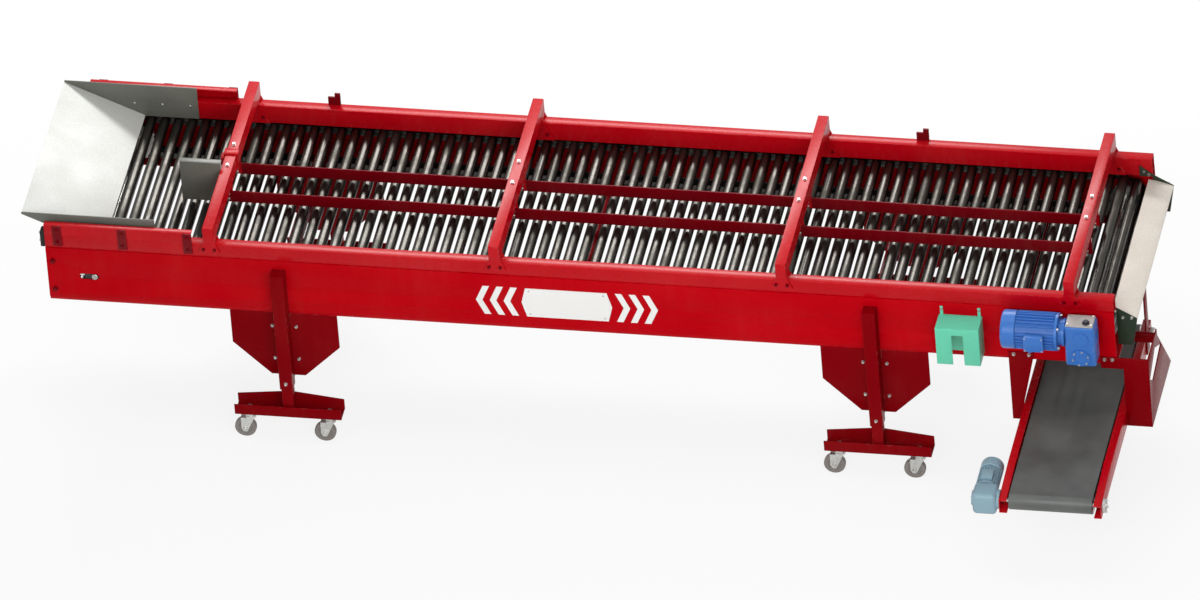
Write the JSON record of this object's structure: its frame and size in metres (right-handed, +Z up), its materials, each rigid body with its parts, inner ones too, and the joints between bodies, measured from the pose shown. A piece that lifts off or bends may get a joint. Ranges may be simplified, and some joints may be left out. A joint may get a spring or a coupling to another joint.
{
  "type": "potato inspection table",
  "caption": "Long roller inspection table with arches over lane dividers, an infeed chute, telescopic legs on swivel casters and a reject cross belt under the discharge end.",
  "frame": {"origin": "on the floor under the middle of the machine's outline", "axes": "+X from the infeed to the discharge end, +Y away from the operator's side, +Z up"},
  "size_m": [5.181, 1.876, 1.1837],
  "materials": {
    "machine_red": "gloss paint",
    "dark_red": "gloss paint",
    "plain_steel": "drawn tube, worn bright",
    "zinc_steel": "zinc plated",
    "cast_housing": "painted casting",
    "gray_rubber": "matte sheet",
    "beige_rubber": "matte sheet",
    "belt_rubber": "matte belt",
    "motor_blue": "satin paint on a ribbed casting",
    "gearbox_gray": "satin paint on a casting",
    "pale_blue": "satin paint on a casting",
    "hood_green": "gloss paint",
    "dark_green": "satin paint",
    "wheel_gray": "gray tread"
  },
  "bodies": {
    "frame": {"front_side_beam": "machine_red", "rear_side_beam": "machine_red", "guard_boards": "machine_red", "raised_infeed_boards": "machine_red", "cross_ties": "machine_red", "inspection_arches": "machine_red", "splitter_clamp": "machine_red", "lane_dividers": "dark_red", "divider_hangers": "machine_red", "infeed_splitter_plate": "gray_rubber", "infeed_chute_floor": "gray_rubber", "infeed_chute_liners": "gray_rubber", "discharge_apron": "beige_rubber", "apron_brackets": "dark_green", "chain_guides": "plain_steel", "head_bearings": "cast_housing", "main_motor": "motor_blue", "main_gearbox": "gearbox_gray", "control_hood": "hood_green", "leg_posts": "machine_red", "leg_gussets": "machine_red", "guard_lugs": "dark_red", "cross_rails": "machine_red", "cross_belt": "belt_rubber", "cross_bearings": "cast_housing", "cross_gearmotor": "pale_blue", "conveyor_hangers": "machine_red", "catch_plate": "machine_red"},
    "deck_strand": {"top_rollers": "plain_steel", "top_chain": "plain_steel"},
    "return_strand": {"return_rollers": "plain_steel", "return_chain": "plain_steel"},
    "head_wheel": {"head_shaft": "plain_steel", "head_wrap_rollers": "plain_steel"},
    "take_up": {"take_up_blocks": "cast_housing", "take_up_screws": "zinc_steel"},
    "tail_wheel": {"tail_shaft": "plain_steel", "tail_wrap_rollers": "plain_steel"},
    "cross_drive": {"cross_drive_drum": "plain_steel"},
    "cross_tail": {"cross_tail_drum": "plain_steel"},
    "front_infeed_foot": {"front_infeed_foot": "machine_red"},
    "front_infeed_left_fork": {"front_infeed_left_fork": "zinc_steel"},
    "front_infeed_left_wheel": {"front_infeed_left_wheel": "wheel_gray"},
    "front_infeed_right_fork": {"front_infeed_right_fork": "zinc_steel"},
    "front_infeed_right_wheel": {"front_infeed_right_wheel": "wheel_gray"},
    "rear_infeed_foot": {"rear_infeed_foot": "machine_red"},
    "rear_infeed_left_fork": {"rear_infeed_left_fork": "zinc_steel"},
    "rear_infeed_left_wheel": {"rear_infeed_left_wheel": "wheel_gray"},
    "rear_infeed_right_fork": {"rear_infeed_right_fork": "zinc_steel"},
    "rear_infeed_right_wheel": {"rear_infeed_right_wheel": "wheel_gray"},
    "front_discharge_foot": {"front_discharge_foot": "machine_red"},
    "front_discharge_left_fork": {"front_discharge_left_fork": "zinc_steel"},
    "front_discharge_left_wheel": {"front_discharge_left_wheel": "wheel_gray"},
    "front_discharge_right_fork": {"front_discharge_right_fork": "zinc_steel"},
    "front_discharge_right_wheel": {"front_discharge_right_wheel": "wheel_gray"},
    "rear_discharge_foot": {"rear_discharge_foot": "machine_red"},
    "rear_discharge_left_fork": {"rear_discharge_left_fork": "zinc_steel"},
    "rear_discharge_left_wheel": {"rear_discharge_left_wheel": "wheel_gray"},
    "rear_discharge_right_fork": {"rear_discharge_right_fork": "zinc_steel"},
    "rear_discharge_right_wheel": {"rear_discharge_right_wheel": "wheel_gray"}
  },
  "joints": [
    {"name": "deck_travel", "type": "slide", "parent": "frame", "child": "deck_strand", "axis": [1, 0, 0], "range_m": [-0.03175, 0.03175]},
    {"name": "return_travel", "type": "slide", "parent": "frame", "child": "return_strand", "axis": [1, 0, 0], "range_m": [-0.03175, 0.03175]},
    {"name": "head_turn", "type": "hinge", "parent": "frame", "child": "head_wheel", "pos_m": [2.3105, 0.313, 0.834], "axis": [0, 1, 0], "range_deg": [-18.1, 18.1]},
    {"name": "tail_take_up", "type": "slide", "parent": "frame", "child": "take_up", "axis": [-1, 0, 0], "range_m": [0, 0.05]},
    {"name": "tail_turn", "type": "hinge", "parent": "take_up", "child": "tail_wheel", "pos_m": [-2.2615, 0.313, 0.834], "axis": [0, 1, 0], "range_deg": [-18.1, 18.1]},
    {"name": "cross_drive_turn", "type": "hinge", "parent": "frame", "child": "cross_drive", "pos_m": [2.239, -0.882, 0.39195], "axis": [1, 0, 0], "continuous": true},
    {"name": "cross_tail_turn", "type": "hinge", "parent": "frame", "child": "cross_tail", "pos_m": [2.239, 0.378, 0.39195], "axis": [1, 0, 0], "continuous": true},
    {"name": "front_infeed_leg_slide", "type": "slide", "parent": "frame", "child": "front_infeed_foot", "axis": [0, 0, -1], "range_m": [0, 0.15]},
    {"name": "front_infeed_left_swivel", "type": "hinge", "parent": "front_infeed_foot", "child": "front_infeed_left_fork", "pos_m": [-1.5865, -0.267, 0.145], "axis": [0, 0, 1], "continuous": true},
    {"name": "front_infeed_left_roll", "type": "hinge", "parent": "front_infeed_left_fork", "child": "front_infeed_left_wheel", "pos_m": [-1.6135, -0.267, 0.05], "axis": [0, 1, 0], "continuous": true},
    {"name": "front_infeed_right_swivel", "type": "hinge", "parent": "front_infeed_foot", "child": "front_infeed_right_fork", "pos_m": [-1.2165, -0.267, 0.145], "axis": [0, 0, 1], "continuous": true},
    {"name": "front_infeed_right_roll", "type": "hinge", "parent": "front_infeed_right_fork", "child": "front_infeed_right_wheel", "pos_m": [-1.2435, -0.267, 0.05], "axis": [0, 1, 0], "continuous": true},
    {"name": "rear_infeed_leg_slide", "type": "slide", "parent": "frame", "child": "rear_infeed_foot", "axis": [0, 0, -1], "range_m": [0, 0.15]},
    {"name": "rear_infeed_left_swivel", "type": "hinge", "parent": "rear_infeed_foot", "child": "rear_infeed_left_fork", "pos_m": [-1.5865, 0.893, 0.145], "axis": [0, 0, 1], "continuous": true},
    {"name": "rear_infeed_left_roll", "type": "hinge", "parent": "rear_infeed_left_fork", "child": "rear_infeed_left_wheel", "pos_m": [-1.6135, 0.893, 0.05], "axis": [0, 1, 0], "continuous": true},
    {"name": "rear_infeed_right_swivel", "type": "hinge", "parent": "rear_infeed_foot", "child": "rear_infeed_right_fork", "pos_m": [-1.2165, 0.893, 0.145], "axis": [0, 0, 1], "continuous": true},
    {"name": "rear_infeed_right_roll", "type": "hinge", "parent": "rear_infeed_right_fork", "child": "rear_infeed_right_wheel", "pos_m": [-1.2435, 0.893, 0.05], "axis": [0, 1, 0], "continuous": true},
    {"name": "front_discharge_leg_slide", "type": "slide", "parent": "frame", "child": "front_discharge_foot", "axis": [0, 0, -1], "range_m": [0, 0.15]},
    {"name": "front_discharge_left_swivel", "type": "hinge", "parent": "front_discharge_foot", "child": "front_discharge_left_fork", "pos_m": [1.1415, -0.267, 0.145], "axis": [0, 0, 1], "continuous": true},
    {"name": "front_discharge_left_roll", "type": "hinge", "parent": "front_discharge_left_fork", "child": "front_discharge_left_wheel", "pos_m": [1.1145, -0.267, 0.05], "axis": [0, 1, 0], "continuous": true},
    {"name": "front_discharge_right_swivel", "type": "hinge", "parent": "front_discharge_foot", "child": "front_discharge_right_fork", "pos_m": [1.5115, -0.267, 0.145], "axis": [0, 0, 1], "continuous": true},
    {"name": "front_discharge_right_roll", "type": "hinge", "parent": "front_discharge_right_fork", "child": "front_discharge_right_wheel", "pos_m": [1.4845, -0.267, 0.05], "axis": [0, 1, 0], "continuous": true},
    {"name": "rear_discharge_leg_slide", "type": "slide", "parent": "frame", "child": "rear_discharge_foot", "axis": [0, 0, -1], "range_m": [0, 0.15]},
    {"name": "rear_discharge_left_swivel", "type": "hinge", "parent": "rear_discharge_foot", "child": "rear_discharge_left_fork", "pos_m": [1.1415, 0.893, 0.145], "axis": [0, 0, 1], "continuous": true},
    {"name": "rear_discharge_left_roll", "type": "hinge", "parent": "rear_discharge_left_fork", "child": "rear_discharge_left_wheel", "pos_m": [1.1145, 0.893, 0.05], "axis": [0, 1, 0], "continuous": true},
    {"name": "rear_discharge_right_swivel", "type": "hinge", "parent": "rear_discharge_foot", "child": "rear_discharge_right_fork", "pos_m": [1.5115, 0.893, 0.145], "axis": [0, 0, 1], "continuous": true},
    {"name": "rear_discharge_right_roll", "type": "hinge", "parent": "rear_discharge_right_fork", "child": "rear_discharge_right_wheel", "pos_m": [1.4845, 0.893, 0.05], "axis": [0, 1, 0], "continuous": true}
  ],
  "couplings": [
    {"joint": "return_travel", "follows": "deck_travel", "ratio": -1},
    {"joint": "head_turn", "follows": "deck_travel", "rad_per_m": 9.8948},
    {"joint": "tail_turn", "follows": "deck_travel", "rad_per_m": 9.8948},
    {"joint": "cross_tail_turn", "follows": "cross_drive_turn", "ratio": 1}
  ]
}
